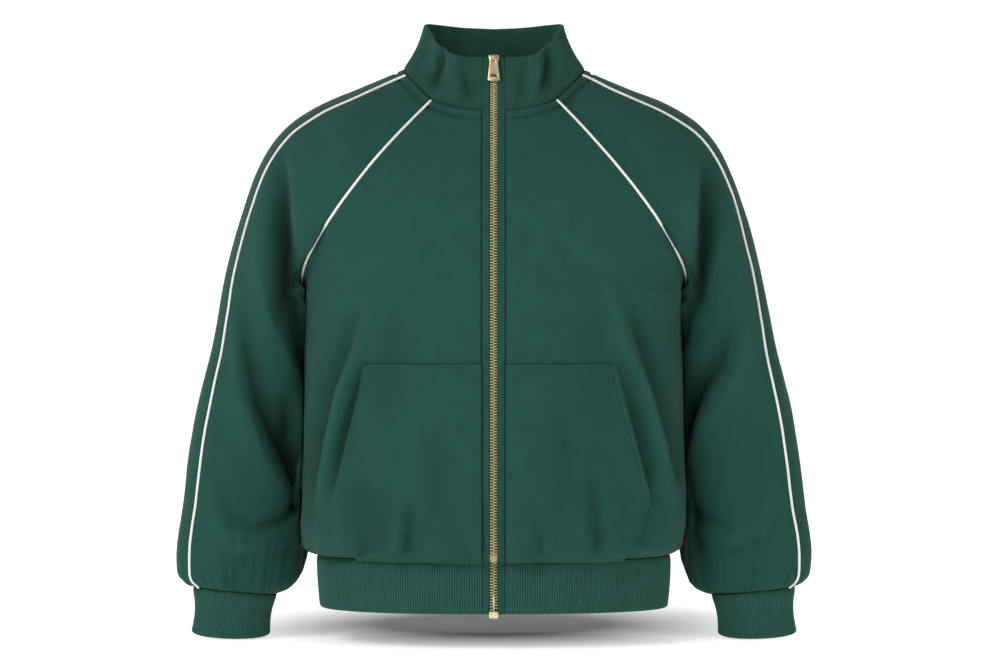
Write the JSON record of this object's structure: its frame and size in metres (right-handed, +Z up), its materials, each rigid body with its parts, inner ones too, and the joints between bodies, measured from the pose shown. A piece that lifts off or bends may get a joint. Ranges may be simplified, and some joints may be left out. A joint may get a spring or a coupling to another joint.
{
  "type": "zip-up sweatshirt",
  "caption": "Zip-up raglan sweatshirt with a ribbed stand collar, piped seams, split front pocket, ribbed hem and cuffs, filled out as worn and hollow inside.",
  "frame": {"origin": "middle of the neck's base at shoulder height, where the wearer's shoulders hold the garment", "axes": "+X towards the wearer's left sleeve, -Y out of the zipped front, +Z up"},
  "size_m": [0.685, 0.2534, 0.6671],
  "materials": {
    "fleece": "soft brushed jersey, matte",
    "rib": "ribbed knit, matte",
    "piping": "smooth white cord piping",
    "zip_metal": "polished"
  },
  "bodies": {
    "garment": {"front_left": "fleece", "front_right": "fleece", "back": "fleece", "sleeve_front_left": "fleece", "sleeve_front_right": "fleece", "sleeve_back_left": "fleece", "sleeve_back_right": "fleece", "collar": "rib", "hem_band": "rib", "cuff_left": "rib", "cuff_right": "rib", "pocket_left": "fleece", "pocket_right": "fleece", "piping_raglan_left": "piping", "piping_raglan_right": "piping", "piping_sleeve_left": "piping", "piping_sleeve_right": "piping", "zip_strip_left": "fleece", "zip_strip_right": "fleece", "zip_chain": "zip_metal", "zip_slider": "zip_metal", "zip_stop": "zip_metal"},
    "pull_tab": {"pull_tab": "zip_metal"}
  },
  "joints": [
    {"name": "pull_tab_hinge", "type": "hinge", "parent": "garment", "child": "pull_tab", "pos_m": [0, -0.06655, 0.01059], "axis": [-1, 0, 0], "range_deg": [0, 155]}
  ]
}
